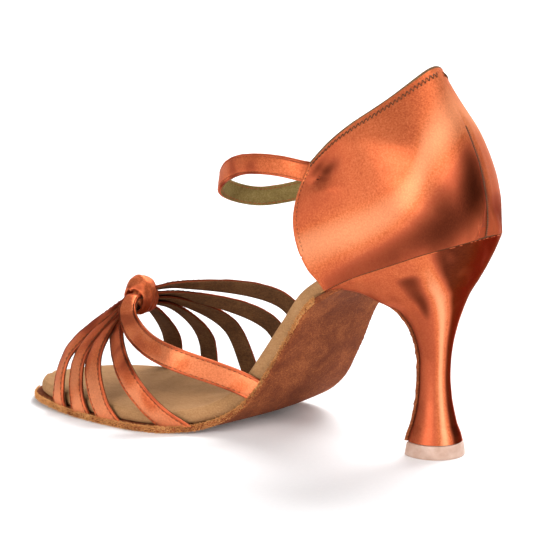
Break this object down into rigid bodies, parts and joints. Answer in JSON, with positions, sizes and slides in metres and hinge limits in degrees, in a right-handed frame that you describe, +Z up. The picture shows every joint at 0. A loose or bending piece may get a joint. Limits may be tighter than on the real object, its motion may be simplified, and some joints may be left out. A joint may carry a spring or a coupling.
{
  "type": "ballroom dance shoe",
  "caption": "Open-toe ballroom dance sandal for the right foot, with narrow vamp straps gathered in a knot, a closed heel quarter, an ankle loop and a high flared heel.",
  "frame": {"origin": "centre of the heel tip's flat bottom, on the floor", "axes": "+X towards the toe, +Y towards the inner (arch) side of the foot, +Z up"},
  "size_m": [0.2081, 0.075, 0.142],
  "materials": {
    "satin": "satin",
    "suede": "napped",
    "lining": "matt",
    "cap": "satin"
  },
  "bodies": {
    "root": {"outsole": "suede", "insole": "lining", "quarter": "satin", "vamp_straps": "satin", "knot": "satin", "ankle_strap": "satin", "heel": "satin", "heel_cap": "cap"}
  },
  "joints": []
}
